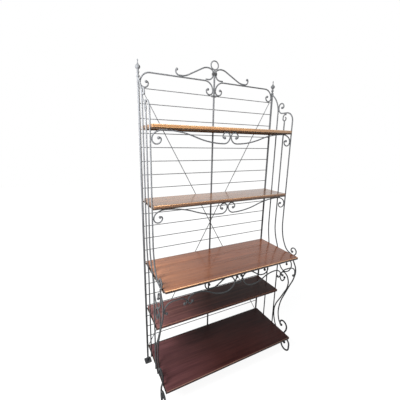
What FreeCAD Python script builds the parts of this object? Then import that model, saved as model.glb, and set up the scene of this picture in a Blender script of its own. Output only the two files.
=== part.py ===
"""A wrought-iron bakers rack with five wooden shelves, as separate pieces.

Frame: millimetres, +Z up, +X to the right, front towards -Y.  The origin is on the floor, at the
middle of the rack's width and depth.  The pieces are drawn from the plane of the rear posts, in which
"forward" is the distance in front of the posts, and build() then moves them all back together.
"""
import FreeCAD, Part
import math
import os

Vector = FreeCAD.Vector

# Overall layout
POST_SPACING = 1016.0       # centre to centre of the rear posts
POST_R = 7.0
POST_TOP = 1983.0
BAR_R = 6.0                 # centre bar of the back
ROD_R = 2.5                 # thin level rods and diagonal braces of the back
ROD_COUNT = 22
ROD_PITCH = 85.3
TOP_ROD_Z = 1925.0
IRON_R = 4.5                # uprights, legs and scrolls
APRON_R = 4.0               # the scrolls under the two upper shelves
EYE_R = 8.5                 # ball that ends a scroll
FOOT_R = 6.0                # the heavier bar of the front feet
EYE_BEND_R = 9.0            # last tight bend before that ball

# Boards: top, rear edge and front edge forward of the posts, thickness
TOP_SHELF_Z = 1712.0
SECOND_SHELF_Z = 1265.0
UPPER_BACK = 9.0
UPPER_COVER = 13.0                  # front edge of the two upper boards before the front upright
UPPER_T = 21.0
WORK_SHELF_Z = 830.0
WORK_BACK = 16.0
WORK_FRONT = 414.0
FOURTH_SHELF_Z = 477.0
FOURTH_BACK = 6.5
FOURTH_FRONT = 249.0
BOTTOM_SHELF_Z = 158.0
BOTTOM_BACK = 27.0
BOTTOM_FRONT = 417.0
LOWER_T = 18.0
BOARD_EDGE_R = 4.0
BOARD_END_GAP = 4.5                 # board end to the inner face of the uprights
FLAT_WIDTH = 20.0                   # flat iron of the frame under a board
FLAT_T = 4.0
OVERHANG = 6.0                      # board in front of its iron frame
WORK_OVERHANG = 21.0                # the same at the work shelf, whose scrollwork stands in front

# Screws up through the flat iron into the boards
SCREW_R = 1.75
SCREW_HEAD_R = 3.5
SCREW_HEAD_H = 2.4
SCREW_BITE = 12.0                   # length of shank in the board
SCREW_HOLE_GAP = 0.3
SCREW_END_INSET = 60.0
SCREW_INSET = 15.5                  # from the outer edge of the flat iron

# Side frames, forward of the posts, above and below the work shelf
UPRIGHT_1 = (78.0, 107.0)
UPRIGHT_2 = (150.5, 215.0)
UPRIGHT_3 = 226.5
FLARE_TOP = 180.0                   # the uprights swing forward from here above the work shelf
FLARE_BOTTOM = -115.0               # to here
SHOULDER_Z = 1838.0                 # level top of the front upright
UPRIGHT_1_BEND_R = 160.0

# Rear feet and finials
FOOT_PLATE = 48.0
FOOT_PLATE_T = 8.0
FINIAL_H = 98.0

# Crest
CREST_DROP = 84.0                   # crest rail above the bottoms of its own scrolls
CREST_BEND_R = 60.0
SWAN_WAIST = 34.0                   # above the crest rail, where the swan scrolls pass the centre bar
SWAN_RISE = 80.0                    # top of the swan scrolls above the crest rail
RING_WIDTH = 55.0
RING_HEIGHT = 52.0
RING_R = 4.0
RING_LIFT = 2.4                     # the ring sits in the notch between the swan scrolls
COLLAR_HEIGHT = 18.0                # binding round the centre bar and the swan scrolls
COLLAR_WALL = 2.5
COLLAR_GAP = 1.0                    # beside the swan scrolls, which bend away from the bar
CLIP = (34.0, 18.0, 12.0)           # small binding where the centre bar meets the top rod
BRACE_TOP_INSET = 19.0
BRACE_BOTTOM_INSET = 11.0

# Aprons
APRON_DROP = 68.0                   # depth of the scrollwork under an upper shelf
WORK_APRON_DROP = 96.0
WORK_HOOK_WIDTH = 135.5             # from the leg to the scroll of the long sweep

# Legs and feet
FOOT_LOW_R = 38.5
FOOT_MID_R = 33.0
FOOT_TOP_R = 35.0
FOOT_EYE_BEND_R = 13.0
FOOT_FRONT = 409.0                  # foremost centre line of the foot scroll

# Worked out from the sizes above; each shelf is (top, rear edge, front edge, thickness)
SHELF_1 = (TOP_SHELF_Z, UPPER_BACK, UPRIGHT_3 + UPPER_COVER, UPPER_T)
SHELF_2 = (SECOND_SHELF_Z, UPPER_BACK, UPRIGHT_3 + UPPER_COVER, UPPER_T)
SHELF_3 = (WORK_SHELF_Z, WORK_BACK, WORK_FRONT, LOWER_T)
SHELF_4 = (FOURTH_SHELF_Z, FOURTH_BACK, FOURTH_FRONT, LOWER_T)
SHELF_5 = (BOTTOM_SHELF_Z, BOTTOM_BACK, BOTTOM_FRONT, LOWER_T)
HALF = POST_SPACING / 2
FRAME_HALF = HALF - IRON_R          # the iron frames meet the inner side of the uprights
BOARD_HALF = FRAME_HALF - BOARD_END_GAP
REAR = BAR_R                        # rear edge of the iron frames, against the centre bar
BRACE_BACK = 2 * ROD_R              # braces lie against the back of the level rods
APRON_FORWARD = UPRIGHT_3
CREST_LOW = TOP_ROD_Z + ROD_R + IRON_R
CREST_Z = CREST_LOW + CREST_DROP


def underside(shelf):
    return shelf[0] - shelf[3]


def rod_height(row):
    return TOP_ROD_Z - row * ROD_PITCH


def across(forward):
    """Plane coordinates (x, z) at one distance forward of the posts."""
    return lambda x, z: Vector(x, -forward, z)


def along(side_x):
    """Plane coordinates (forward, z) in one side frame."""
    return lambda forward, z: Vector(side_x, -forward, z)


def trace(at, heading, moves):
    """Walk a line in a plane: ("line", length) or ("bend", degrees, radius), which turns left if positive."""
    u, v = at
    angle = math.radians(heading)
    stretches = []
    for move in moves:
        if move[0] == "line":
            end = (u + move[1] * math.cos(angle), v + move[1] * math.sin(angle))
            if move[1] > 0.01:
                stretches.append([(u, v), end])
        else:
            turn = math.radians(move[1])
            radius = move[2] if turn > 0 else -move[2]
            cu = u - radius * math.sin(angle)
            cv = v + radius * math.cos(angle)
            spots = [(u, v)]
            for share in (0.5, 1.0):
                a = angle + turn * share
                spots.append((cu + radius * math.sin(a), cv - radius * math.cos(a)))
            stretches.append(spots)
            end = spots[-1]
            angle += turn
        u, v = end
    return stretches


def trace_both(at, heading, ahead, behind):
    """One line that leaves a middle point both ways."""
    back = trace(at, heading + 180, behind)
    flipped = [list(reversed(spots)) for spots in reversed(back)]
    return flipped + trace(at, heading, ahead)


def double_bend(offset, length):
    """Moves that shift a line sideways by offset, left if positive, over a length."""
    turn = 2 * math.atan2(abs(offset), length)
    radius = length / (2 * math.sin(turn))
    degrees = math.copysign(math.degrees(turn), offset)
    return [("bend", degrees, radius), ("bend", -degrees, radius)]


def bar(stretches, place, radius):
    """Sweep a round bar along the stretches of a line."""
    edges = []
    for spots in stretches:
        points = [place(*spot) for spot in spots]
        if len(points) == 2:
            edges.append(Part.makeLine(points[0], points[1]))
        else:
            edges.append(Part.Arc(points[0], points[1], points[2]).toShape())
    start = edges[0].valueAt(edges[0].FirstParameter)
    along_start = edges[0].tangentAt(edges[0].FirstParameter)
    profile = Part.Wire(Part.makeCircle(radius, start, along_start))
    return Part.Wire(edges).makePipeShell([profile], True, False)


def arc_spots(start, end, heading):
    """Three spots of the arc that leaves start along a heading and reaches end."""
    across_x, across_z = end[0] - start[0], end[1] - start[1]
    sideways = heading[0] * across_z - heading[1] * across_x
    turn = math.atan2(sideways, heading[0] * across_x + heading[1] * across_z)
    rise = math.tan(turn / 2) / 2
    middle = ((start[0] + end[0]) / 2 + rise * across_z, (start[1] + end[1]) / 2 - rise * across_x)
    return (start, middle, end)


def unit(x, z):
    size = math.hypot(x, z)
    return (x / size, z / size)


def smooth_line(spots, first, last):
    """Tangent arcs through the spots, two between neighbours, with given end headings."""
    headings = [unit(*first)]
    for before, spot, after in zip(spots, spots[1:], spots[2:]):
        a = (spot[0] - before[0], spot[1] - before[1])
        b = (after[0] - spot[0], after[1] - spot[1])
        long_a, long_b = math.hypot(*a), math.hypot(*b)
        headings.append(unit(a[0] * long_b / long_a + b[0] * long_a / long_b,
                             a[1] * long_b / long_a + b[1] * long_a / long_b))
    headings.append(unit(*last))
    stretches = []
    for start, end, leave, arrive in zip(spots, spots[1:], headings, headings[1:]):
        gap = (end[0] - start[0], end[1] - start[1])
        total = (leave[0] + arrive[0], leave[1] + arrive[1])
        along_gap = gap[0] * total[0] + gap[1] * total[1]
        square = gap[0] ** 2 + gap[1] ** 2
        bend = 2 * (1 - leave[0] * arrive[0] - leave[1] * arrive[1])
        reach = square / (along_gap + math.sqrt(along_gap ** 2 + bend * square))
        middle = ((start[0] + end[0] + reach * (leave[0] - arrive[0])) / 2,
                  (start[1] + end[1] + reach * (leave[1] - arrive[1])) / 2)
        stretches.append(arc_spots(start, middle, leave))
        stretches.append(arc_spots(middle, end, arc_heading(stretches[-1], leave)))
    return stretches


def arc_heading(spots, leave):
    """Heading at the end of an arc that set out along leave: leave mirrored in the chord."""
    chord = unit(spots[2][0] - spots[0][0], spots[2][1] - spots[0][1])
    dot = leave[0] * chord[0] + leave[1] * chord[1]
    return (2 * dot * chord[0] - leave[0], 2 * dot * chord[1] - leave[1])


def smooth_bar(spots, place, radius, first, last):
    """Sweep a round bar along a smooth curve through the spots, with given end headings."""
    return bar(smooth_line(spots, first, last), place, radius)


def with_eyes(solid, place, *ends, radius=EYE_R):
    """Weld a ball on each given end of a scroll, turned so that its seam lies away from the bar."""
    u, v = place(1, 0) - place(0, 0), place(0, 1) - place(0, 0)
    for inside, spot in ends:
        centre = place(*spot)
        outward = (centre - place(*inside)).normalize()
        ball = Part.makeSphere(radius)
        turn = FreeCAD.Rotation(outward, u.cross(v).cross(outward), u.cross(v), "ZXY")
        ball.Placement = FreeCAD.Placement(centre, turn)
        solid = solid.fuse(ball)
    return solid.removeSplitter()


def first_end(stretches):
    return stretches[0][1], stretches[0][0]


def last_end(stretches):
    return stretches[-1][-2], stretches[-1][-1]


def mirrored(solid):
    return solid.mirror(Vector(0, 0, 0), Vector(1, 0, 0))


def box(x0, x1, forward0, forward1, z0, z1):
    """A box by its limits, with its depth measured forward of the posts."""
    return Part.makeBox(x1 - x0, forward1 - forward0, z1 - z0, Vector(x0, -forward1, z0))


# Back of the rack ---------------------------------------------------------------------------------

def rear_post():
    return Part.makeCylinder(POST_R, POST_TOP - FOOT_PLATE_T, Vector(-HALF, 0, FOOT_PLATE_T))


def rear_foot():
    """Flat square plate under a rear post, with rounded upright corners."""
    half = FOOT_PLATE / 2
    plate = box(-HALF - half, -HALF + half, -half, half, 0, FOOT_PLATE_T)
    corners = [edge for edge in plate.Edges if abs(edge.tangentAt(edge.FirstParameter).z) > 0.99]
    return plate.makeFillet(FOOT_PLATE / 8, corners)


def finial():
    """Turned finial: base ring, two necks, small knop, urn and spike, as shares of its height."""
    knops = [(0.00, 0.60), (0.04, 0.66), (0.10, 0.60), (0.15, 0.36), (0.21, 0.40), (0.29, 0.62),
             (0.36, 0.36), (0.40, 0.36), (0.48, 0.80), (0.56, 1.00), (0.64, 0.80), (0.70, 0.40),
             (0.76, 0.24), (0.86, 0.18), (0.92, 0.24), (0.97, 0.16)]
    widest = POST_R * 2.2
    points = [Vector(-HALF + widest * out, 0, POST_TOP + FINIAL_H * up) for up, out in knops]
    tip = Vector(-HALF, 0, POST_TOP + FINIAL_H)
    curve = Part.BSplineCurve()
    curve.interpolate(points)
    foot = Vector(-HALF, 0, POST_TOP)
    outline = Part.Wire([Part.makeLine(foot, points[0]), curve.toShape(), Part.makeLine(points[-1], tip),
                         Part.makeLine(tip, foot)])
    return Part.Face(outline).revolve(foot, Vector(0, 0, 1), 360)


def level_rods(first_row, last_row, posts):
    """Thin level rods between the posts, their ends shaped to the posts."""
    rods = []
    for row in range(first_row, last_row + 1):
        start = Vector(-HALF, 0, rod_height(row))
        rods.append(Part.makeCylinder(ROD_R, POST_SPACING, start, Vector(1, 0, 0)).cut(posts))
    return rods


def brace_line():
    top = Vector(-HALF + BRACE_TOP_INSET, BRACE_BACK, TOP_ROD_Z)
    bottom = Vector(HALF - BRACE_BOTTOM_INSET, BRACE_BACK, rod_height(ROD_COUNT - 1))
    return top, bottom


def long_brace():
    top, bottom = brace_line()
    run = bottom - top
    return Part.makeCylinder(ROD_R, run.Length, top, run)


def short_braces():
    """The other diagonal, in two halves that meet the long one."""
    halves = mirrored(long_brace()).cut(long_brace()).Solids
    return sorted(halves, key=lambda solid: -solid.CenterOfMass.z)


def centre_bar(rods, braces):
    """Upright bar from the lowest rod to the crest, pierced by the rods and let into for the braces."""
    low = rod_height(ROD_COUNT - 1) - BAR_R
    high = ring_bottom() - RING_R
    solid = Part.makeCylinder(BAR_R, high - low, Vector(0, 0, low))
    return solid.cut(Part.makeCompound(rods + braces))


# Crest --------------------------------------------------------------------------------------------

def crest_rail():
    """Level rail that drops into a scroll at the post and another at the centre bar."""
    outer = -HALF + POST_R + IRON_R
    inner = -BAR_R - IRON_R
    small_r = CREST_DROP - CREST_BEND_R
    curl = [("bend", 90, CREST_BEND_R), ("bend", 180, small_r), ("bend", 110, EYE_BEND_R)]
    mirror_curl = [(kind, -turn, radius) for kind, turn, radius in curl]
    middle = (outer + inner) / 2
    half_run = (inner - outer) / 2 - CREST_BEND_R
    line = trace_both((middle, CREST_Z), 180, [("line", half_run)] + curl, [("line", half_run)] + mirror_curl)
    place = across(0)
    return with_eyes(bar(line, place, IRON_R), place, first_end(line), last_end(line))


def swan_scroll():
    """Scroll that leans on the crest rail, rises to the centre and turns back down through the collar."""
    x = -BAR_R - IRON_R
    resting = CREST_Z + 2 * IRON_R
    waist = resting + SWAN_WAIST
    shoulder_r = 22.0
    brow_r = 60.0
    crown = CREST_Z + SWAN_RISE
    fall = 27.0
    out_r = 80.0
    in_r = 110.0
    sine = math.sin(math.radians(fall))
    slope = (crown - resting - (out_r + in_r) * (1 - math.cos(math.radians(fall)))) / sine
    rise = crown - waist - brow_r * (1 - math.cos(math.radians(30))) - shoulder_r * math.sin(math.radians(60))
    up = [("line", rise), ("bend", 60, shoulder_r), ("bend", 30, brow_r), ("bend", fall, out_r),
          ("line", slope), ("bend", -fall, in_r), ("line", 14.0), ("bend", -90, 24.0),
          ("bend", -80, EYE_BEND_R)]
    down = [("bend", -90, waist - resting), ("line", 20.0)]
    line = trace_both((x, waist), 90, up, down)
    place = across(0)
    return with_eyes(bar(line, place, IRON_R), place, last_end(line))


def ring_bottom():
    return CREST_Z + SWAN_RISE - IRON_R - RING_R + RING_LIFT


def crest_ring():
    """Oval loop that stands on the centre bar between the swan scrolls."""
    centre = Vector(0, 0, ring_bottom() + RING_HEIGHT / 2)
    oval = Part.Ellipse(centre + Vector(RING_WIDTH / 2, 0, 0), centre + Vector(0, 0, RING_HEIGHT / 2), centre)
    path = Part.Wire(oval.toShape())
    start = path.Edges[0].valueAt(path.Edges[0].FirstParameter)
    profile = Part.Wire(Part.makeCircle(RING_R, start, path.Edges[0].tangentAt(0)))
    return path.makePipeShell([profile], True, False)


def binding(size, centre_z, inside):
    """A small rounded block wrapped round the bars that pass through it."""
    wide, deep, high = size
    block = Part.makeBox(wide, deep, high, Vector(-wide / 2, -deep / 2, centre_z - high / 2))
    return block.makeFillet(3.0, block.Edges).cut(inside)


def collar(centre_z):
    """A band round the centre bar and the waist of the two swan scrolls."""
    inner = BAR_R + 2 * IRON_R + COLLAR_GAP
    outer = inner + COLLAR_WALL
    deep = BAR_R + COLLAR_WALL
    low, high = centre_z - COLLAR_HEIGHT / 2, centre_z + COLLAR_HEIGHT / 2
    band = box(-outer, outer, -deep, deep, low, high)
    band = band.makeFillet(2.0, [edge for edge in band.Edges if edge.tangentAt(0).z ** 2 > 0.5])
    return band.cut(box(-inner, inner, -BAR_R, BAR_R, low, high))


# Side frames --------------------------------------------------------------------------------------

def flare(offset):
    """The forward swing of an upright just above the work shelf, on the way down."""
    return double_bend(offset, FLARE_TOP - FLARE_BOTTOM)


def upright_bottom():
    return underside(SHELF_5) - FLAT_T


def rear_upright(post):
    """Upright next to the post: its top bends back and is shaped to the post and finial."""
    high, low = UPRIGHT_1
    flare_z = SHELF_3[0] + FLARE_TOP
    bend_z = SHOULDER_Z + 7.0
    reach = high - POST_R / 2
    turn = math.degrees(math.acos(1 - reach / UPRIGHT_1_BEND_R))
    down = [("line", bend_z - flare_z)] + flare(low - high)
    down.append(("line", SHELF_3[0] + FLARE_BOTTOM - upright_bottom()))
    line = trace_both((high, bend_z), -90, down, [("bend", turn, UPRIGHT_1_BEND_R)])
    return bar(line, along(-HALF), IRON_R).cut(post)


def middle_upright():
    """Upright whose top carries a small C scroll, hung from the shoulder of the front upright."""
    high, low = UPRIGHT_2
    flare_z = SHELF_3[0] + FLARE_TOP
    hook_r = 14.5
    hook_z = SHOULDER_Z - 39.0
    neck_r = SHOULDER_Z - 2 * IRON_R + 0.5 - hook_z - 8.0
    bend_z = hook_z - hook_r - IRON_R / 2
    down = [("line", bend_z - flare_z)] + flare(low - high)
    down.append(("line", SHELF_3[0] + FLARE_BOTTOM - upright_bottom()))
    place = along(-HALF)
    stem = bar(trace((high, bend_z), -90, down), place, IRON_R)
    hook = trace_both((high - hook_r - 1.5, hook_z), 90, [("line", 8.0), ("bend", -85, neck_r)],
                      [("bend", 180, hook_r), ("bend", 90, EYE_BEND_R)])
    return with_eyes(stem.fuse(bar(hook, place, IRON_R - 0.5)), place, last_end(hook), radius=EYE_R - 1)


def front_upright():
    """Upright with a shouldered scroll at the top and a curl that lies along the work shelf."""
    shoulder_r = 60.0
    lift_r = 38.0
    lean = 3.0
    run = UPRIGHT_3 - shoulder_r - lift_r - UPRIGHT_1[0] - 2 * IRON_R + lean
    curl_r = 24.0
    top = [("bend", 90, shoulder_r), ("line", run), ("bend", -90, lift_r), ("line", 8.0),
           ("bend", -180, curl_r), ("bend", -130, EYE_BEND_R)]
    start_z = SHELF_3[0] + 218.0
    foot = [("line", SHOULDER_Z - shoulder_r - start_z), ("bend", 12, 480.0), ("bend", 23, 250.0),
            ("bend", 40, 75.0), ("line", 24.0), ("bend", 105, 32.0), ("bend", 180, 24.0),
            ("bend", 110, EYE_BEND_R)]
    line = trace_both((UPRIGHT_3, SHOULDER_Z - shoulder_r), -90, foot, top)
    place = along(-HALF)
    return with_eyes(bar(line, place, IRON_R), place, first_end(line), last_end(line))


def foot_line():
    """S-shaped foot: a low scroll on the floor, a sloping stem and an upper scroll beside the shelf."""
    low = [("line", 30.0), ("bend", 180, FOOT_MID_R), ("bend", 120, FOOT_EYE_BEND_R)]
    bottom = (FOOT_FRONT - FOOT_LOW_R, FOOT_R)
    lean = 26.0
    stem = [("bend", -90, FOOT_LOW_R), ("line", 34.0), ("bend", -lean, 120.0), ("line", 40.0),
            ("bend", lean, 80.0), ("line", 1.0), ("bend", 180, FOOT_TOP_R), ("bend", 100, FOOT_EYE_BEND_R)]
    return trace_both(bottom, 0, [("bend", 90, FOOT_LOW_R)] + low, stem)


def foot_scroll():
    line = foot_line()
    place = along(-FRAME_HALF - FOOT_R)
    return with_eyes(bar(line, place, FOOT_R), place, first_end(line), last_end(line), radius=EYE_R + 1)


def outer_leg():
    """Bowed front leg from the work shelf down to the upper scroll of the foot."""
    top = underside(SHELF_3)
    spots = [(346.0, top - 3.0), (366.0, top - 33.0), (391.0, top - 75.0), (397.0, top - 110.0),
             (387.0, top - 163.0), (349.0, top - 259.0), (316.0, top - 341.0), (290.0, 405.0),
             (274.0, 335.0), (271.0, 285.0), (277.0, 245.0), (291.5, 205.0)]
    return smooth_bar(spots, along(-HALF), IRON_R, (0.6, -0.8), (0.4, -0.92))


def inner_leg():
    """Leg rod that arches up from a ball end, runs down beside the bowed leg to the bottom shelf."""
    top = underside(SHELF_3)
    upright = UPRIGHT_2[1] + 2 * IRON_R - 0.3
    spots = [(299.0, top - 204.0), (293.0, top - 230.0), (275.0, top - 244.0), (257.0, top - 228.0),
             (259.0, top - 192.0), (286.0, top - 164.5), (318.0, top - 175.0), (339.0, top - 213.0),
             (337.5, top - 262.0), (303.0, top - 344.0), (269.5, 400.0), (240.0, 342.0),
             (upright + 2.0, 290.0), (upright + 0.5, 252.0), (upright + 8.0, 205.0),
             (262.0, underside(SHELF_5))]
    place = along(-HALF)
    solid = smooth_bar(spots, place, IRON_R, (0.1, -1), (0.6, -0.8))
    return with_eyes(solid, place, (spots[1], spots[0]))


def side_scroll():
    """Rod from the middle upright that dips to the inner leg and rises into a scroll under the work shelf."""
    top = underside(SHELF_3)
    upright = UPRIGHT_2[1] + IRON_R + APRON_R - 0.5
    spots = [(upright, top - 1.0), (upright + 1.5, top - 62.0), (237.0, top - 118.0),
             (259.0, top - 145.0), (288.0, top - 155.8), (320.0, top - 142.0), (344.0, top - 113.0),
             (352.5, top - 77.0), (342.0, top - 51.0), (325.0, top - 43.0), (310.0, top - 56.0),
             (307.0, top - 88.0)]
    place = along(-HALF)
    solid = smooth_bar(spots, place, APRON_R, (0, -1), (0.1, -1))
    return with_eyes(solid, place, (spots[-2], spots[-1]))


# Aprons -------------------------------------------------------------------------------------------

def apron_scroll(shelf):
    """Long S under half of an upper shelf: it hangs in a scroll at the side and curls up at the centre."""
    top = underside(shelf) - FLAT_T - APRON_R
    side = -HALF + IRON_R + APRON_R
    centre = -APRON_R
    sweep_r = 90.0
    turn_r = 41.0
    sine, cosine = math.sin(math.radians(35)), math.cos(math.radians(35))
    hang_x = side + sweep_r * sine + turn_r * (1 - sine)
    low_r = 42.0
    rise_r = APRON_DROP - low_r
    run = centre - low_r - hang_x
    outward = [("bend", 35, sweep_r), ("bend", 55, turn_r), ("bend", 180, 26.0), ("bend", 130, EYE_BEND_R)]
    inward = double_bend(-APRON_DROP, run)
    inward += [("bend", 90, low_r), ("bend", 180, rise_r), ("bend", 120, EYE_BEND_R)]
    line = trace_both((hang_x, top), 180, outward, inward)
    place = across(APRON_FORWARD)
    return with_eyes(bar(line, place, APRON_R), place, first_end(line), last_end(line))


def work_apron_forward():
    return SHELF_3[2] - WORK_OVERHANG - APRON_R


def work_apron_top():
    return underside(SHELF_3) - FLAT_T - APRON_R


def work_swag():
    """Rod along the whole work shelf: a scroll each side, a crest and a deep loop at the centre."""
    top = work_apron_top()
    dip_r = 27.0
    crest_r = 45.0
    sine, cosine = math.sin(math.radians(62)), math.cos(math.radians(62))
    dip = top - 62.0
    climb = (top - dip - (dip_r + crest_r) * (1 - cosine)) / sine
    half = [("bend", 62, dip_r), ("line", climb), ("bend", -62, crest_r), ("bend", -33, 80.0),
            ("line", 45.0), ("bend", 33, 75.0), ("line", 8.0), ("bend", 90, 36.0), ("bend", 200, 14.0)]
    other = [(move[0], -move[1], move[2]) if move[0] == "bend" else move for move in half]
    line = trace_both((0, dip), 0, half, other)
    place = across(work_apron_forward())
    return with_eyes(bar(line, place, APRON_R), place, first_end(line), last_end(line))


def sweep_forward():
    return work_apron_forward() + 2 * APRON_R


def work_side():
    return -HALF + IRON_R + APRON_R


def work_sweep_line():
    top = work_apron_top()
    low = top - WORK_APRON_DROP
    bend_r = 75.0
    turn = math.radians(75)
    low_x = -32.0 - bend_r * math.sin(turn)
    ease_r = 40.0
    lean = math.radians(62)
    before = low + bend_r * (1 - math.cos(turn)) + ease_r * (math.cos(lean) - math.cos(turn))
    end = (top - EYE_R - 1.5 - before) / math.sin(lean)
    inward = [("bend", 75, bend_r), ("bend", -13, ease_r), ("line", end)]
    wide_r = 70.0
    tight_r = 27.0
    sine = math.sin(math.radians(40))
    run = low_x - wide_r * sine - tight_r * (1 - sine) - (work_side() + WORK_HOOK_WIDTH + 2 * APRON_R)
    outward = double_bend(-54.0, run)
    outward += [("bend", 40, wide_r), ("bend", 50, tight_r), ("line", 8.0), ("bend", 170, 14.0)]
    return trace_both((low_x, low), 0, inward, outward)


def work_sweep():
    """Rod in front of the swag: from the centre it dips, rises outward and closes in a small scroll."""
    line = work_sweep_line()
    place = across(sweep_forward())
    return with_eyes(bar(line, place, APRON_R), place, last_end(line), first_end(line))


def work_hook():
    """Hook-shaped scroll that joins the sweep to the bowed front leg."""
    rise_r = 44.0
    brow_r = 80.0
    fall_r = 45.0
    tip_r = 12.0
    crown = 55.0
    sine60 = math.sin(math.radians(60))
    level = WORK_HOOK_WIDTH - rise_r / 2 - brow_r / 2 - fall_r * sine60 - tip_r * (1 - sine60)
    inner = [("line", crown - rise_r * sine60 - brow_r * (1 - sine60)), ("bend", -60, rise_r),
             ("bend", -30, brow_r), ("line", level), ("bend", -60, fall_r), ("bend", -130, tip_r)]
    outer = [("line", 6.0), ("bend", 110, EYE_BEND_R)]
    line = trace_both((work_side(), work_apron_top() - 110.0), 90, inner, outer)
    place = across(sweep_forward())
    return with_eyes(bar(line, place, APRON_R), place, first_end(line), last_end(line))


# Shelves ------------------------------------------------------------------------------------------

def frame_front(shelf):
    return shelf[2] - (WORK_OVERHANG if shelf is SHELF_3 else OVERHANG)


def screw_spots(shelf):
    """Where screws pass up through the flat iron, near the ends and at the middle."""
    back = max(REAR + SCREW_INSET, shelf[1] + SCREW_HEAD_R)
    back = min(back, REAR + FLAT_WIDTH - SCREW_HEAD_R)
    front = frame_front(shelf) - SCREW_INSET
    reach = FRAME_HALF - SCREW_END_INSET
    return [(x, forward) for x in (-reach, 0.0, reach) for forward in (back, front)]


def screw_shanks(shelf, radius):
    low = underside(shelf) - FLAT_T
    length = FLAT_T + SCREW_BITE
    return [Part.makeCylinder(radius, length, Vector(x, -forward, low)) for x, forward in screw_spots(shelf)]


def shelf_frame(shelf, posts):
    """Rectangle of flat iron laid level under a board."""
    front = frame_front(shelf)
    top = underside(shelf)
    outer = box(-FRAME_HALF, FRAME_HALF, REAR, front, top - FLAT_T, top)
    inner_half = FRAME_HALF - FLAT_WIDTH
    opening = box(-inner_half, inner_half, REAR + FLAT_WIDTH, front - FLAT_WIDTH, top - FLAT_T, top)
    holes = screw_shanks(shelf, SCREW_R + SCREW_HOLE_GAP)
    return outer.cut([opening, posts] + holes)


def board(shelf):
    """Solid wooden board with rounded upper edges, drilled from below for its screws."""
    top, back, front, thickness = shelf
    plank = box(-BOARD_HALF, BOARD_HALF, back, front, top - thickness, top)
    upper = [edge for edge in plank.Edges if edge.BoundBox.ZMin > top - 0.1]
    plank = plank.makeFillet(BOARD_EDGE_R, upper)
    return plank.cut(screw_shanks(shelf, SCREW_R))


def screws(shelf):
    """Pan-head screws under the iron frame of one shelf."""
    low = underside(shelf) - FLAT_T
    solids = []
    for (x, forward), shank in zip(screw_spots(shelf), screw_shanks(shelf, SCREW_R)):
        head = Part.makeCylinder(SCREW_HEAD_R, SCREW_HEAD_H, Vector(x, -forward, low - SCREW_HEAD_H))
        head = head.makeFillet(1.2, [edge for edge in head.Edges if edge.BoundBox.ZMax < low - 1.0])
        solids.append(head.fuse(shank).removeSplitter())
    return solids


# The assembly -------------------------------------------------------------------------------------

def pair(nodes, name, solid):
    nodes[name + "_left"] = solid
    nodes[name + "_right"] = mirrored(solid)


def build():
    nodes = {}
    pair(nodes, "rear_post", rear_post())
    pair(nodes, "rear_foot", rear_foot())
    pair(nodes, "finial", finial())
    posts = Part.makeCompound([nodes["rear_post_left"], nodes["rear_post_right"]])

    bays = [(0, 2), (3, 7), (8, 12), (13, 16), (17, ROD_COUNT - 1)]
    rods = []
    for number, (first_row, last_row) in enumerate(bays, start=1):
        group = level_rods(first_row, last_row, posts)
        rods += group
        nodes["back_rods_%d" % number] = Part.makeCompound(group)
    nodes["brace_long"] = long_brace()
    nodes["brace_upper"], nodes["brace_lower"] = short_braces()
    braces = [nodes["brace_long"], nodes["brace_upper"], nodes["brace_lower"]]
    nodes["centre_bar"] = centre_bar(rods, braces)

    pair(nodes, "crest_rail", crest_rail())
    pair(nodes, "crest_swan", swan_scroll())
    nodes["crest_ring"] = crest_ring()
    nodes["crest_collar"] = collar(CREST_Z + 2 * IRON_R + SWAN_WAIST + 2.5)
    inside = Part.makeCompound([nodes["centre_bar"], rods[0], nodes["crest_rail_left"],
                                nodes["crest_rail_right"]])
    nodes["crest_clip"] = binding(CLIP, TOP_ROD_Z, inside)

    rear = rear_upright(nodes["rear_post_left"].fuse(nodes["finial_left"]))
    middle = middle_upright()
    outer = outer_leg()
    inner = inner_leg().cut([outer, middle])
    pair(nodes, "side_upright_rear", rear)
    pair(nodes, "side_upright_middle", middle)
    pair(nodes, "side_upright_front", front_upright().cut([rear, middle]))
    pair(nodes, "foot_scroll", foot_scroll().cut(outer))
    pair(nodes, "leg_outer", outer)
    pair(nodes, "leg_inner", inner)
    pair(nodes, "side_scroll", side_scroll().cut([middle, inner]))

    pair(nodes, "apron_1", apron_scroll(SHELF_1))
    pair(nodes, "apron_2", apron_scroll(SHELF_2))
    pair(nodes, "work_sweep", work_sweep())
    pair(nodes, "work_hook", work_hook())

    all_screws = []
    for number, shelf in enumerate((SHELF_1, SHELF_2, SHELF_3, SHELF_4, SHELF_5), start=1):
        nodes["shelf_%d_frame" % number] = shelf_frame(shelf, posts)
        nodes["shelf_%d_board" % number] = board(shelf)
        all_screws += screws(shelf)
    nodes["work_swag"] = work_swag().cut(nodes["shelf_3_frame"])
    nodes["shelf_screws"] = Part.makeCompound(all_screws)

    to_middle = Vector(0, (SHELF_5[2] - FOOT_PLATE / 2) / 2, 0)
    for shape in nodes.values():
        shape.translate(to_middle)
    return nodes


os.makedirs("parts", exist_ok=True)
for name, shape in build().items():
    shape.exportStep("parts/%s.step" % name)
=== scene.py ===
"""A bakers rack of forged round iron with five wooden shelves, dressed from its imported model."""
import bmesh
import bpy
import numpy as np
from mathutils import Matrix, Vector


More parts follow.
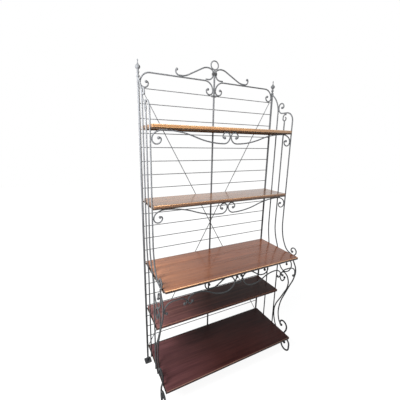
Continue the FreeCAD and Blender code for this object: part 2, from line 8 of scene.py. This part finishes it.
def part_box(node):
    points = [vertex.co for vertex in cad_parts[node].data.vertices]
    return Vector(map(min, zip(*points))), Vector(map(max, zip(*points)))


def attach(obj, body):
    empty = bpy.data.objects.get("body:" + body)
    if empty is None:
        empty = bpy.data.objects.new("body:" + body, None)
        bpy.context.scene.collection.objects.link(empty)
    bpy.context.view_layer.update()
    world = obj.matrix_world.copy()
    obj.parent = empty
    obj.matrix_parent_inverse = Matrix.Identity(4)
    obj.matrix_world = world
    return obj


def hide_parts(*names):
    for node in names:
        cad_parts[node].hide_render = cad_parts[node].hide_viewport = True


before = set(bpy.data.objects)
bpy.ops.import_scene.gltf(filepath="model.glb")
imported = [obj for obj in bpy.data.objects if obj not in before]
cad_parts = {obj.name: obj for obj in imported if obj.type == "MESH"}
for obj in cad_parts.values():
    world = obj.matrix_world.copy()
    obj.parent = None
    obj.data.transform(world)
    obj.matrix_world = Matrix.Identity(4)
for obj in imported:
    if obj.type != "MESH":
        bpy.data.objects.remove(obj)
scene = bpy.context.scene
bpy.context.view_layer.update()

# ---------------------------------------------------------------- camera
# The camera stands in front of the rack and to its left, at a height between the two display shelves,
# and looks slightly down at it.
CAMERA_PLACE = (-0.8748, -1.3561, 1.6152)
CAMERA_RIGHT = (0.89429671, -0.44713145, 0.01751759)
CAMERA_UP = (0.084962, 0.20810557, 0.97440932)
CAMERA_BACK = (-0.43933456, -0.86992272, 0.22409731)
camera = bpy.data.objects.new("camera", bpy.data.cameras.new("camera"))
scene.collection.objects.link(camera)
turned = Matrix((CAMERA_RIGHT, CAMERA_UP, CAMERA_BACK)).transposed().to_4x4()
camera.matrix_world = Matrix.Translation(CAMERA_PLACE) @ turned
camera.data.sensor_width = 36.0
camera.data.lens = 22.202
camera.data.clip_end = 60.0
scene.camera = camera
scene.view_settings.view_transform = "Standard"


# ---------------------------------------------------------------- studio walls
# The room round the rack is plain white wherever the camera or a glossy surface sees it.  The light that
# it gives the rack is weak and slightly cool.
ROOM_WHITE = (1, 1, 1, 1)
ROOM_LIGHT = (0.93, 0.97, 1.0, 1)
ROOM_LIGHT_STRENGTH = 0.34


def show_by_ray(tree, plain, seen, output_kind):
    """Puts out the shader seen for rays from the camera or a glossy surface, and plain for all others."""
    path = tree.nodes.new("ShaderNodeLightPath")
    direct = tree.nodes.new("ShaderNodeMath")
    direct.operation = "MAXIMUM"
    pick = tree.nodes.new("ShaderNodeMixShader")
    out = tree.nodes.new(output_kind)
    tree.links.new(path.outputs["Is Camera Ray"], direct.inputs[0])
    tree.links.new(path.outputs["Is Glossy Ray"], direct.inputs[1])
    tree.links.new(direct.outputs[0], pick.inputs[0])
    tree.links.new(plain.outputs[0], pick.inputs[1])
    tree.links.new(seen.outputs[0], pick.inputs[2])
    tree.links.new(pick.outputs[0], out.inputs[0])


world = bpy.data.worlds.new("studio")
scene.world = world
world.use_nodes = True
room = world.node_tree
room.nodes.clear()
room_light = room.nodes.new("ShaderNodeBackground")
room_light.inputs["Color"].default_value = ROOM_LIGHT
room_light.inputs["Strength"].default_value = ROOM_LIGHT_STRENGTH
room_white = room.nodes.new("ShaderNodeBackground")
room_white.inputs["Color"].default_value = ROOM_WHITE
room_white.inputs["Strength"].default_value = 1.0
show_by_ray(room, room_light, room_white, "ShaderNodeOutputWorld")


# ---------------------------------------------------------------- studio floor
# The rack stands on a wide sheet of pale paper.  Where it is seen it glows nearly white, so that only the
# rack's soft shadow darkens it, and it whitens fully some way off.  It throws back light as a plain grey.
FLOOR_HALF = 9.0
FLOOR_GREY = (0.70, 0.70, 0.70, 1)
SHADOW_GREY = (0.12, 0.12, 0.12, 1)
FLOOR_GLOW = (1, 1, 1, 1)
WHITENS_FROM_TO = (0.9, 3.2)                # distances from the middle of the rack, in metres
GLOW_FROM_TO = (0.93, 1.0)


def graded(tree, value, places, shares):
    """Value turned evenly from the two places to the two shares, and held beyond them."""
    grade = tree.nodes.new("ShaderNodeMapRange")
    grade.inputs["From Min"].default_value, grade.inputs["From Max"].default_value = places
    grade.inputs["To Min"].default_value, grade.inputs["To Max"].default_value = shares
    tree.links.new(value, grade.inputs["Value"])
    return grade.outputs[0]


floor_mesh = bpy.data.meshes.new("floor")
floor_mesh.from_pydata([(-FLOOR_HALF, -FLOOR_HALF, 0), (FLOOR_HALF, -FLOOR_HALF, 0),
                        (FLOOR_HALF, FLOOR_HALF, 0), (-FLOOR_HALF, FLOOR_HALF, 0)], [], [(0, 1, 2, 3)])
floor = bpy.data.objects.new("floor", floor_mesh)
scene.collection.objects.link(floor)
paper = bpy.data.materials.new("studio_floor")
paper.use_nodes = True
floor_mesh.materials.append(paper)
sheet = paper.node_tree
sheet.nodes.clear()
plain_paper = sheet.nodes.new("ShaderNodeBsdfDiffuse")
plain_paper.inputs["Color"].default_value = FLOOR_GREY
shadow_paper = sheet.nodes.new("ShaderNodeBsdfDiffuse")
shadow_paper.inputs["Color"].default_value = SHADOW_GREY
distance = sheet.nodes.new("ShaderNodeVectorMath")
distance.operation = "LENGTH"
sheet.links.new(sheet.nodes.new("ShaderNodeTexCoord").outputs["Object"], distance.inputs[0])
glow = sheet.nodes.new("ShaderNodeEmission")
glow.inputs["Color"].default_value = FLOOR_GLOW
strength = graded(sheet, distance.outputs["Value"], WHITENS_FROM_TO, GLOW_FROM_TO)
sheet.links.new(strength, glow.inputs["Strength"])
glowing_paper = sheet.nodes.new("ShaderNodeAddShader")
sheet.links.new(shadow_paper.outputs[0], glowing_paper.inputs[0])
sheet.links.new(glow.outputs[0], glowing_paper.inputs[1])
show_by_ray(sheet, plain_paper, glowing_paper, "ShaderNodeOutputMaterial")


# ---------------------------------------------------------------- lamps
# Square soft boxes.  The strongest stands at the left, with a smaller one beside the left bars, a wide one
# overhead, a weak warm one at the right, and a small one that puts sharp glints on the bars.
COOL = (0.98, 0.99, 1.0)
NEUTRAL = (1, 1, 1)
WARM = (1.0, 0.97, 0.93)


def lamp(name, place, aim, size, watts, tint):
    """A square soft box at place that faces the point aim."""
    light = bpy.data.lights.new(name, "AREA")
    light.size = size
    light.energy = watts
    light.color = tint
    box = bpy.data.objects.new(name, light)
    scene.collection.objects.link(box)
    box.location = place
    box.rotation_mode = "QUATERNION"
    box.rotation_quaternion = (box.location - Vector(aim)).normalized().to_track_quat("Z", "Y")
    return box


left_light = lamp("left_light", place=(-1.9, -0.55, 2.1), aim=(-0.4, 0, 1.2),
                  size=1.0, watts=118, tint=COOL)
near_light = lamp("near_light", place=(-1.3, -0.45, 1.75), aim=(-0.5, 0.1, 1.45),
                  size=0.5, watts=25, tint=COOL)
left_light.visible_glossy = False
near_light.visible_glossy = False
lamp("glint_light", place=(-1.7, -0.9, 2.4), aim=(-0.2, 0, 1.2), size=0.35, watts=6, tint=NEUTRAL)
lamp("top_light", place=(-0.4, -1.0, 3.3), aim=(-0.1, -0.05, 0.9), size=1.8, watts=26, tint=NEUTRAL)
lamp("right_light", place=(3.2, -2.0, 2.0), aim=(0, 0, 1.0), size=2.0, watts=14, tint=WARM)


# ---------------------------------------------------------------- rear posts, finials and rear feet
# Two round steel posts stand at the back.  Each has a turned finial welded on top and a small square plate
# welded underneath, and is painted a mottled dark pewter grey, satin over a slightly hammered skin.
DARK_PEWTER = (0.056, 0.057, 0.060)
PALE_PEWTER = (0.075, 0.077, 0.080)
PATCHES_PER_METRE = 14
DENTS_PER_METRE = 160
DENT_STRENGTH = 0.06
DENT_DEPTH = 0.0004
SMOOTHER, ROUGHER = 0.04, 0.06              # how far the roughness strays to either side
LIGHT_GRADE_HEIGHTS = (0.3, 1.9)                  # painted shade low down and painted light high up, graded between these heights
LIGHT_GRADE_SHARES = (0.22, 1.25)
LIT_LEFT_END = (-0.50, -0.46)                   # painted light: the bars at the left end are a little paler
LIT_LEFT_SHARES = (1.22, 1.0)


def new_finish(name):
    """A new material, its node tree and its shader."""
    finish = bpy.data.materials.new(name)
    finish.use_nodes = True
    return finish, finish.node_tree, finish.node_tree.nodes["Principled BSDF"]


def noise_at(tree, place, scale, detail, rough=0.55, distortion=0.0):
    """Noise over the coordinates place, times a scale for each axis."""
    mapping = tree.nodes.new("ShaderNodeMapping")
    mapping.inputs["Scale"].default_value = scale
    tree.links.new(place, mapping.inputs["Vector"])
    noise = tree.nodes.new("ShaderNodeTexNoise")
    noise.inputs["Scale"].default_value = 1.0
    noise.inputs["Detail"].default_value = detail
    noise.inputs["Roughness"].default_value = rough
    noise.inputs["Distortion"].default_value = distortion
    tree.links.new(mapping.outputs[0], noise.inputs["Vector"])
    return noise.outputs["Fac"]


def ramp_of(tree, value, stops):
    """Colour ramp through (place, colour) stops, read at value."""
    ramp = tree.nodes.new("ShaderNodeValToRGB")
    while len(ramp.color_ramp.elements) < len(stops):
        ramp.color_ramp.elements.new(0.5)
    for element, (place, colour) in zip(ramp.color_ramp.elements, stops):
        element.position = place
        element.color = (*colour, 1)
    tree.links.new(value, ramp.inputs[0])
    return ramp.outputs[0]


def product(tree, one, other):
    """Product of two values."""
    times = tree.nodes.new("ShaderNodeMath")
    times.operation = "MULTIPLY"
    tree.links.new(one, times.inputs[0])
    tree.links.new(other, times.inputs[1])
    return times.outputs[0]


def tinted(tree, colour, tint):
    """Product of two colours, channel by channel."""
    times = tree.nodes.new("ShaderNodeMix")
    times.data_type = "RGBA"
    times.blend_type = "MULTIPLY"
    times.inputs[0].default_value = 1.0
    tree.links.new(colour, times.inputs[6])
    tree.links.new(tint, times.inputs[7])
    return times.outputs[2]


def raise_skin(tree, skin, height, strength, depth):
    """Tilts the shader's normals as if height from 0 to 1 rose by depth metres."""
    bump = tree.nodes.new("ShaderNodeBump")
    bump.inputs["Strength"].default_value = strength
    bump.inputs["Distance"].default_value = depth
    tree.links.new(height, bump.inputs["Height"])
    tree.links.new(bump.outputs[0], skin.inputs["Normal"])


def hammered_metal(name, dark, pale, roughness, shine, metal=0.0):
    """Paint or plating on hammered metal: patches of a dark and a pale tone, times a share of painted light
    and shade that grows with the height and is larger at the left end, and small dents that also make the
    roughness uneven."""
    finish, tree, skin = new_finish(name)
    place = tree.nodes.new("ShaderNodeTexCoord").outputs["Object"]
    axes = tree.nodes.new("ShaderNodeSeparateXYZ")
    tree.links.new(place, axes.inputs[0])
    patches = noise_at(tree, place, (PATCHES_PER_METRE,) * 3, detail=4.0)
    tone = ramp_of(tree, patches, [(0.32, dark), (0.55, pale), (0.75, dark)])
    # painted shade low down, painted light high up and at the left end
    light_by_height = graded(tree, axes.outputs["Z"], LIGHT_GRADE_HEIGHTS, LIGHT_GRADE_SHARES)
    light_by_side = graded(tree, axes.outputs["X"], LIT_LEFT_END, LIT_LEFT_SHARES)
    tree.links.new(tinted(tree, tone, product(tree, light_by_height, light_by_side)), skin.inputs["Base Color"])
    dents = noise_at(tree, place, (DENTS_PER_METRE,) * 3, detail=2.0, rough=0.4)
    satin = ramp_of(tree, dents, [(0.3, (roughness - SMOOTHER,) * 3), (0.7, (roughness + ROUGHER,) * 3)])
    tree.links.new(satin, skin.inputs["Roughness"])
    raise_skin(tree, skin, dents, DENT_STRENGTH, DENT_DEPTH)
    skin.inputs["Metallic"].default_value = metal
    skin.inputs["Specular IOR Level"].default_value = shine
    return finish


def both(*kinds):
    """Names of the left and the right piece of each kind."""
    return [kind + side for kind in kinds for side in ("_left", "_right")]


def paint(names, finish):
    """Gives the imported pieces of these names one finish."""
    for name in names:
        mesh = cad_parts[name].data
        mesh.materials.clear()
        mesh.materials.append(finish)


iron = hammered_metal("pewter_iron", DARK_PEWTER, PALE_PEWTER, roughness=0.30, shine=0.28)
paint(both("rear_post", "finial", "rear_foot"), iron)


# ---------------------------------------------------------------- back rods, braces and centre bar
# Thin level steel rods are welded between the posts in five groups, one above each shelf.  An upright bar
# in the middle is drilled for them, and two crossed braces are welded against their backs.
paint(["back_rods_%d" % group for group in range(1, 6)], iron)
paint(["brace_long", "brace_upper", "brace_lower", "centre_bar"], iron)


# ---------------------------------------------------------------- side uprights
# Three uprights of round steel bar stand in each side, bent cold over a jig and welded to the shelf frames.
# They swing forward above the work shelf, and the front two end in scrolls with a small ball.
paint(both("side_upright_rear", "side_upright_middle", "side_upright_front"), iron)


# ---------------------------------------------------------------- legs, side scrolls and front feet
# Below the work shelf each side has a bowed leg, an inner leg with a ball-ended hook, a scroll between them
# and an S-shaped foot, all of bent round bar welded where they touch.  Their paint is a duller copy of the
# posts' iron, painted shade: it reflects less of the white room, so these bars render darker.
shaded_iron = hammered_metal("dull_shaded_iron", DARK_PEWTER, PALE_PEWTER, roughness=0.38, shine=0.12)
paint(both("leg_outer", "leg_inner", "side_scroll", "foot_scroll"), shaded_iron)


# ---------------------------------------------------------------- aprons
# Under each display shelf hang two long S scrolls of thin round bar, and under the work shelf a long swag
# with sweeps and hooks in front.  They are bent over a jig and welded to the frames and the uprights.  The
# second shelf's pair has the glossier paint of the posts.
# painted shade: the top shelf's aprons and the work shelf's swag, sweeps and hooks get the duller, darker
# copy
paint(both("apron_1", "work_sweep", "work_hook") + ["work_swag"], shaded_iron)
paint(both("apron_2"), iron)


# ---------------------------------------------------------------- shelf frames
# A rectangle of flat iron under each board is welded to the uprights at its ends.  It is out of sight from
# above.  Its paint is thin and matt, and its warm dark brown is painted shade, standing in for the shaded
# underside of the board above it.
DARK_BROWN = (0.048, 0.034, 0.026)
PALE_BROWN = (0.075, 0.053, 0.040)
shaded_frame_iron = hammered_metal("shaded_warm_iron", DARK_BROWN, PALE_BROWN, roughness=0.55, shine=0.0)
paint(["shelf_%d_frame" % number for number in range(1, 6)], shaded_frame_iron)


# ---------------------------------------------------------------- crest
# Two level rails drop into scrolls at the posts and at the middle.  Two swan-neck scrolls lean on them,
# with an oval ring between.  All are bent from round bar, held by a clip and a collar, and welded.
paint(both("crest_rail", "crest_swan") + ["crest_ring", "crest_clip", "crest_collar"], iron)


# ---------------------------------------------------------------- collar
# Where the swan-neck scrolls pass the centre bar, soft iron wire is wound tightly round them, six turns of
# one length, and its ends are welded down.
DARK_WIRE = (0.020, 0.020, 0.020)
PALE_WIRE = (0.045, 0.045, 0.045)
WIRE_R = 0.00125
WIRE_SIDES = 12
TURNS = 6
STEPS_PER_TURN = 40


def surface(name, points):
    """Mesh of a grid of points, shape (rows, columns, 3): a quad between each four neighbours, and the last
    column joined to the first."""
    rows, columns = points.shape[:2]
    index = np.arange(rows * columns).reshape(rows, columns)
    index = np.concatenate([index, index[:, :1]], axis=1)
    quads = np.stack([index[:-1, :-1], index[:-1, 1:], index[1:, 1:], index[1:, :-1]], axis=-1)
    quads = quads.reshape(-1, 4)
    mesh = bpy.data.meshes.new(name)
    mesh.from_pydata(points.reshape(-1, 3).tolist(), [], quads.tolist())
    mesh.polygons.foreach_set("use_smooth", np.ones(len(quads), bool))
    piece = bpy.data.objects.new(name, mesh)
    scene.collection.objects.link(piece)
    return piece


def close_ends(piece, *rings):
    """Closes open rings of vertices with one face each and turns all faces outwards."""
    work = bmesh.new()
    work.from_mesh(piece.data)
    work.verts.ensure_lookup_table()
    for ring in rings:
        work.faces.new([work.verts[i] for i in ring])
    bmesh.ops.recalc_face_normals(work, faces=work.faces)
    work.to_mesh(piece.data)
    work.free()


def dress(piece, finish):
    """Gives a new piece its finish and lets it ride on the rack."""
    piece.data.materials.append(finish)
    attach(piece, "root")


def wound_wire(name, low, high):
    """Tube of radius WIRE_R along a rising oval x = a·c·|c|^-1/2, y = b·s·|s|^-1/2 with c, s the cosine
    and sine of the turn, inside the box from low to high."""
    low, high = np.array(low), np.array(high)
    centre = (low + high) / 2
    half = (high - low) / 2 - WIRE_R
    steps = STEPS_PER_TURN * TURNS
    angle = np.linspace(0, 2 * np.pi * TURNS, steps)
    c, s = np.cos(angle), np.sin(angle)
    path = np.stack([half[0] * np.sign(c) * np.abs(c) ** 0.5, half[1] * np.sign(s) * np.abs(s) ** 0.5,
                     np.linspace(-half[2], half[2], steps)], axis=-1) + centre
    along = np.gradient(path, axis=0)
    along /= np.linalg.norm(along, axis=1, keepdims=True)
    out = np.stack([c, s, np.zeros(steps)], axis=-1)
    out -= along * np.sum(out * along, axis=1, keepdims=True)
    out /= np.linalg.norm(out, axis=1, keepdims=True)
    side = np.cross(along, out)
    round_it = np.linspace(0, 2 * np.pi, WIRE_SIDES, endpoint=False)[None, :, None]
    ring = WIRE_R * (np.cos(round_it) * out[:, None] + np.sin(round_it) * side[:, None])
    piece = surface(name, path[:, None] + ring)
    corners = list(range(WIRE_SIDES * steps))
    close_ends(piece, corners[:WIRE_SIDES][::-1], corners[-WIRE_SIDES:])
    return piece


dark_wire = hammered_metal("dark_wire_iron", DARK_WIRE, PALE_WIRE, roughness=0.35, shine=0.3)
collar_low, collar_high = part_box("crest_collar")
wire = wound_wire("crest_collar_wire", collar_low, collar_high)
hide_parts("crest_collar")
dress(wire, dark_wire)


# ---------------------------------------------------------------- boards of the display shelves
# Two shallow boards, each edge-glued from long strips of hardwood, planed flat and rounded over along its
# edges by a router, then stained golden or amber brown and lacquered.  The underside is left bare.
EDGE_R = 0.0038
CORNER_R = 0.004
EDGE_STEPS = 7
CORNER_STEPS = 9
SHADE_SEAM = 0.001                          # half the height over which the painted shade on the upright faces begins
FACE_LOOPS = (0.985, 0.5)                   # loops of the flat faces, as shares of half the depth
BY_THE_EDGE = 4                             # and one more, this many edge radii in
LEAST_CORNER_R = 0.0005


def board_surface(name, low, high, shaded_share):
    """Closed slab.  Loop j of the outline is a rectangle with rounded corners, drawn in by inset_j at
    height z_j, where (inset, z) runs up round the edge: bottom middle, quarter arc, face, quarter arc,
    top middle.  The attribute "edge" is 1 on the upper rounded edge at the front, where a painted highlight
    goes, and "under" is 1 on the given lower share of the upright faces, where painted shade goes.  The
    underside has the second material."""
    low, high = np.array(low), np.array(high)
    centre = (low + high) / 2
    half = (high - low) / 2
    arc = np.linspace(0, np.pi / 2, EDGE_STEPS)
    inward = np.array([share * half[1] for share in FACE_LOOPS] + [BY_THE_EDGE * EDGE_R])
    flat = len(inward)
    inset = np.concatenate([inward, EDGE_R * (1 - np.sin(arc)), np.zeros(2),
                            EDGE_R * (1 - np.cos(arc)), inward[::-1]])
    seam = low[2] + shaded_share * (high[2] - low[2])
    height = np.concatenate([np.full(flat, low[2]), low[2] + EDGE_R * (1 - np.cos(arc)),
                             seam + np.array([-SHADE_SEAM, SHADE_SEAM]),
                             high[2] - EDGE_R * (1 - np.sin(arc)), np.full(flat, high[2])])
    # painted highlight on the rounded top edge, strongest halfway round it
    edge_highlight = np.concatenate([np.zeros(flat + EDGE_STEPS + 2), np.sin(2 * arc), np.zeros(flat)])
    # painted shade on the lower part of the upright faces
    under = np.concatenate([np.zeros(flat), np.sin(arc), [1.0, 0.0], np.zeros(EDGE_STEPS + flat)])
    quarter = np.linspace(0, np.pi / 2, CORNER_STEPS)
    angle = np.concatenate([quarter + k * np.pi / 2 for k in range(4)])
    sign_x = np.repeat([1, -1, -1, 1], CORNER_STEPS)
    sign_y = np.repeat([1, 1, -1, -1], CORNER_STEPS)
    reach_x = half[0] - inset[:, None]
    reach_y = half[1] - inset[:, None]
    round_r = np.clip(CORNER_R - inset[:, None] * 0.5, LEAST_CORNER_R, None)
    round_r = np.minimum(round_r, reach_y * 0.9)
    x = sign_x * (reach_x - round_r) + round_r * np.cos(angle)
    y = sign_y * (reach_y - round_r) + round_r * np.sin(angle)
    z = np.broadcast_to(height[:, None], x.shape)
    piece = surface(name, np.stack([x, y, z], axis=-1) + np.array([centre[0], centre[1], 0]))
    front = np.clip(-np.sin(angle), 0, 1)
    for title, share in (("edge", edge_highlight[:, None] * front), ("under", under[:, None] * np.ones(angle.shape))):
        mark = piece.data.attributes.new(title, "FLOAT", "POINT")
        mark.data.foreach_set("value", share.ravel().astype(np.float32))
    sides = len(piece.data.polygons)
    corners = list(range(x.size))
    close_ends(piece, corners[:len(angle)][::-1], corners[-len(angle):])
    bare = np.zeros(sides + 2, dtype=np.int32)
    bare[:flat * len(angle)] = 1
    bare[sides] = 1
    piece.data.polygons.foreach_set("material_index", bare)
    return piece


STRIP = 0.085
STRIP_START = 40.3                          # keeps the number of every strip above zero
STRIP_SLIDE = (3.0, 3.0, 3.0)               # how far the grain slides from strip to strip, at most
FIGURE = (1.6, 34.0, 34.0)                  # noise per metre along, across and through the board
PORES = (6.0, 330.0, 330.0)
CLOUDS = (3.0, 7.0, 7.0)
WHITE = (1, 1, 1)
PORE_SHADE = (0.68, 0.64, 0.62)
CLOUD_SHADES = ((0.82, 0.80, 0.78), (1.10, 1.08, 1.06))
STRIP_SHADES = ((0.74, 0.71, 0.69), (1.18, 1.17, 1.17))
COOL_LIGHT_TINT = (-0.08, 0.18, 0.36)             # painted cool light at the left end: it loses red and gains green and blue
BOARD_ENDS = (-0.5, 0.5)
MIDDLE = 0.42                               # of the way from the left end to the right end
PORE_STRENGTH = 0.12
PORE_DEPTH = 0.0003
FACE_SHADE_TINT = (1.0, 0.94, 0.88)               # the painted shade on the upright edges is also redder
HIGHLIGHT_SHARES = (0.35, 0.85)                   # how strong the painted highlight on the front edge is, from cloud to cloud
DULLER = 0.12                               # how much rougher the lacquer is at the most
COAT_ROUGHNESS = 0.07


def lacquered_wood(name, tones, edge_highlight_tone, light_and_shade_along, roughness, coat, shift,
                   face=0.6, strip=STRIP, shine=0.45, cool=1.0):
    """Lacquered hardwood: broad figure in three tones with fine pores and clouds, stretched along X.  Strip
    number floor(y / strip + STRIP_START + shift) has a random shade and a random slide of its grain.
    Painted light and shade change the colour through three shares from the left end, cool lit there, to the
    right end; painted shade darkens it by face where "under" is 1; and a painted highlight turns it to the
    highlight tone where "edge" is 1."""
    finish, tree, skin = new_finish(name)
    place = tree.nodes.new("ShaderNodeTexCoord").outputs["Object"]
    axes = tree.nodes.new("ShaderNodeSeparateXYZ")
    tree.links.new(place, axes.inputs[0])
    strip_place = tree.nodes.new("ShaderNodeMath")
    strip_place.operation = "MULTIPLY_ADD"
    strip_place.inputs[1].default_value = 1 / strip
    strip_place.inputs[2].default_value = STRIP_START + shift
    tree.links.new(axes.outputs["Y"], strip_place.inputs[0])
    strip_number = tree.nodes.new("ShaderNodeMath")
    strip_number.operation = "FLOOR"
    tree.links.new(strip_place.outputs[0], strip_number.inputs[0])
    chance = tree.nodes.new("ShaderNodeTexWhiteNoise")
    chance.noise_dimensions = "1D"
    tree.links.new(strip_number.outputs[0], chance.inputs["W"])
    slide = tree.nodes.new("ShaderNodeVectorMath")
    slide.operation = "MULTIPLY_ADD"
    slide.inputs[1].default_value = STRIP_SLIDE
    tree.links.new(chance.outputs["Color"], slide.inputs[0])
    tree.links.new(place, slide.inputs[2])
    figure = noise_at(tree, slide.outputs[0], FIGURE, detail=3.0, rough=0.5, distortion=0.6)
    pores = noise_at(tree, slide.outputs[0], PORES, detail=4.0, rough=0.6)
    clouds = noise_at(tree, slide.outputs[0], CLOUDS, detail=2.0, rough=0.5)
    edge_highlight = tree.nodes.new("ShaderNodeAttribute")
    edge_highlight.attribute_name = "edge"
    under = tree.nodes.new("ShaderNodeAttribute")
    under.attribute_name = "under"

    # painted light and shade along the board, with painted cool light at the left end
    left, middle, right = light_and_shade_along
    cool_lit_left = [left * (1 + cool * part) for part in COOL_LIGHT_TINT]
    from_left = graded(tree, axes.outputs["X"], BOARD_ENDS, (0.0, 1.0))
    shades = (
        ramp_of(tree, pores, [(0.34, PORE_SHADE), (0.55, WHITE)]),
        ramp_of(tree, clouds, [(0.3, CLOUD_SHADES[0]), (0.7, CLOUD_SHADES[1])]),
        ramp_of(tree, chance.outputs["Value"], [(0.0, STRIP_SHADES[0]), (1.0, STRIP_SHADES[1])]),
        # painted light and shade along the board
        ramp_of(tree, from_left, [(0.0, cool_lit_left), (MIDDLE, (middle,) * 3), (1.0, (right,) * 3)]),
        # painted shade on the lower part of the upright edges, redder too
        ramp_of(tree, under.outputs["Fac"], [(0.1, WHITE), (0.9, [face * part for part in FACE_SHADE_TINT])]),
    )
    colour = ramp_of(tree, figure, [(0.28, tones[0]), (0.45, tones[1]), (0.6, tones[2]), (0.78, tones[1])])
    for shade in shades:
        colour = tinted(tree, colour, shade)
    # painted highlight on the rounded top front edge, broken up in clouds
    highlight_share = ramp_of(tree, clouds, [(0.3, (HIGHLIGHT_SHARES[0],) * 3), (0.6, (HIGHLIGHT_SHARES[1],) * 3)])
    highlighted = tree.nodes.new("ShaderNodeMix")
    highlighted.data_type = "RGBA"
    highlighted.inputs[7].default_value = (*edge_highlight_tone, 1)
    tree.links.new(product(tree, edge_highlight.outputs["Fac"], highlight_share), highlighted.inputs[0])
    tree.links.new(colour, highlighted.inputs[6])
    tree.links.new(highlighted.outputs[2], skin.inputs["Base Color"])
    polish = ramp_of(tree, clouds, [(0.3, (roughness,) * 3), (0.75, (roughness + DULLER,) * 3)])
    tree.links.new(polish, skin.inputs["Roughness"])
    raise_skin(tree, skin, pores, PORE_STRENGTH, PORE_DEPTH)
    skin.inputs["Coat Weight"].default_value = coat
    skin.inputs["Coat Roughness"].default_value = COAT_ROUGHNESS
    skin.inputs["Specular IOR Level"].default_value = shine
    return finish


DARK_BARE = (0.085, 0.042, 0.020)
PALE_BARE = (0.15, 0.075, 0.036)
BARE_STREAKS = (2.5, 60, 60)
bare_wood, bare_tree, bare_skin = new_finish("bare_underside_wood")
bare_place = bare_tree.nodes.new("ShaderNodeTexCoord").outputs["Object"]
streaks = noise_at(bare_tree, bare_place, BARE_STREAKS, detail=3.0)
bare_tone = ramp_of(bare_tree, streaks, [(0.35, DARK_BARE), (0.65, PALE_BARE)])
bare_tree.links.new(bare_tone, bare_skin.inputs["Base Color"])
bare_skin.inputs["Roughness"].default_value = 0.85
bare_skin.inputs["Specular IOR Level"].default_value = 0.0


def lay_board(number, wood, shaded_share):
    """Lays the finished board of one shelf in place of the plain one."""
    node = "shelf_%d_board" % number
    piece = board_surface("shelf_%d_top" % number, *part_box(node), shaded_share)
    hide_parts(node)
    dress(piece, wood)
    piece.data.materials.append(bare_wood)


# each wood gets painted light and shade along its board, painted shade on its lower upright edges and a
# painted highlight on its top front edge
golden = lacquered_wood("golden_brown_wood",
                        tones=((0.24, 0.108, 0.038), (0.40, 0.20, 0.080), (0.54, 0.30, 0.125)),
                        edge_highlight_tone=(0.56, 0.34, 0.17), light_and_shade_along=(0.55, 1.0, 0.6),
                        roughness=0.22, coat=0.35, shift=0.2, face=0.32, cool=0.2)
amber = lacquered_wood("amber_brown_wood",
                       tones=((0.12, 0.047, 0.018), (0.185, 0.080, 0.033), (0.25, 0.118, 0.050)),
                       edge_highlight_tone=(0.50, 0.28, 0.13), light_and_shade_along=(0.75, 0.9, 0.85),
                       roughness=0.2, coat=0.35, shift=6.4, face=0.38, cool=0.4)
lay_board(1, golden, shaded_share=0.14)
lay_board(2, amber, shaded_share=0.4)


# ---------------------------------------------------------------- board of the work shelf
# The deep board at counter height is glued up from wider strips of hardwood than the others, stained
# reddish brown and lacquered.  Its edge has painted shade below and a painted highlight along the top.
# the wood also gets painted light and shade along its board
reddish = lacquered_wood("reddish_brown_wood",
                         tones=((0.150, 0.047, 0.020), (0.186, 0.060, 0.026), (0.222, 0.075, 0.032)),
                         edge_highlight_tone=(0.60, 0.35, 0.19), light_and_shade_along=(1.02, 0.62, 0.90),
                         roughness=0.2, coat=0.25, shift=2.0, face=0.13, strip=0.098, shine=0.3)
lay_board(3, reddish, shaded_share=0.72)


# ---------------------------------------------------------------- boards of the lower shelves
# A shallow board and a deep one, glued up from strips of hardwood.  They are stained a dark walnut and a
# dark mahogany brown, and their thin lacquer is rubbed down dull.
# each wood gets painted light and shade along its board, painted shade on its lower upright edges and a
# painted highlight on its top front edge
walnut = lacquered_wood("walnut_brown_wood",
                        tones=((0.048, 0.017, 0.015), (0.066, 0.023, 0.020), (0.092, 0.035, 0.028)),
                        edge_highlight_tone=(0.22, 0.11, 0.07), light_and_shade_along=(2.15, 0.78, 0.86),
                        roughness=0.34, coat=0.0, shift=5.6, shine=0.11)
mahogany = lacquered_wood("dark_mahogany_wood",
                          tones=((0.040, 0.0130, 0.0126), (0.050, 0.0165, 0.016), (0.064, 0.0215, 0.020)),
                          edge_highlight_tone=(0.19, 0.11, 0.08), light_and_shade_along=(1.6, 0.60, 0.56),
                          roughness=0.36, coat=0.0, shift=0.6, shine=0.10)
lay_board(4, walnut, shaded_share=0.72)
lay_board(5, mahogany, shaded_share=0.72)


# ---------------------------------------------------------------- screws
# Thirty zinc-plated pan-head screws come up from below, through holes in the flat iron of the frames, and
# hold the boards down.
DARK_ZINC = (0.34, 0.34, 0.35)
PALE_ZINC = (0.52, 0.52, 0.53)
zinc = hammered_metal("zinc_plate", DARK_ZINC, PALE_ZINC, roughness=0.30, shine=0.5, metal=0.9)
paint(["shelf_screws"], zinc)
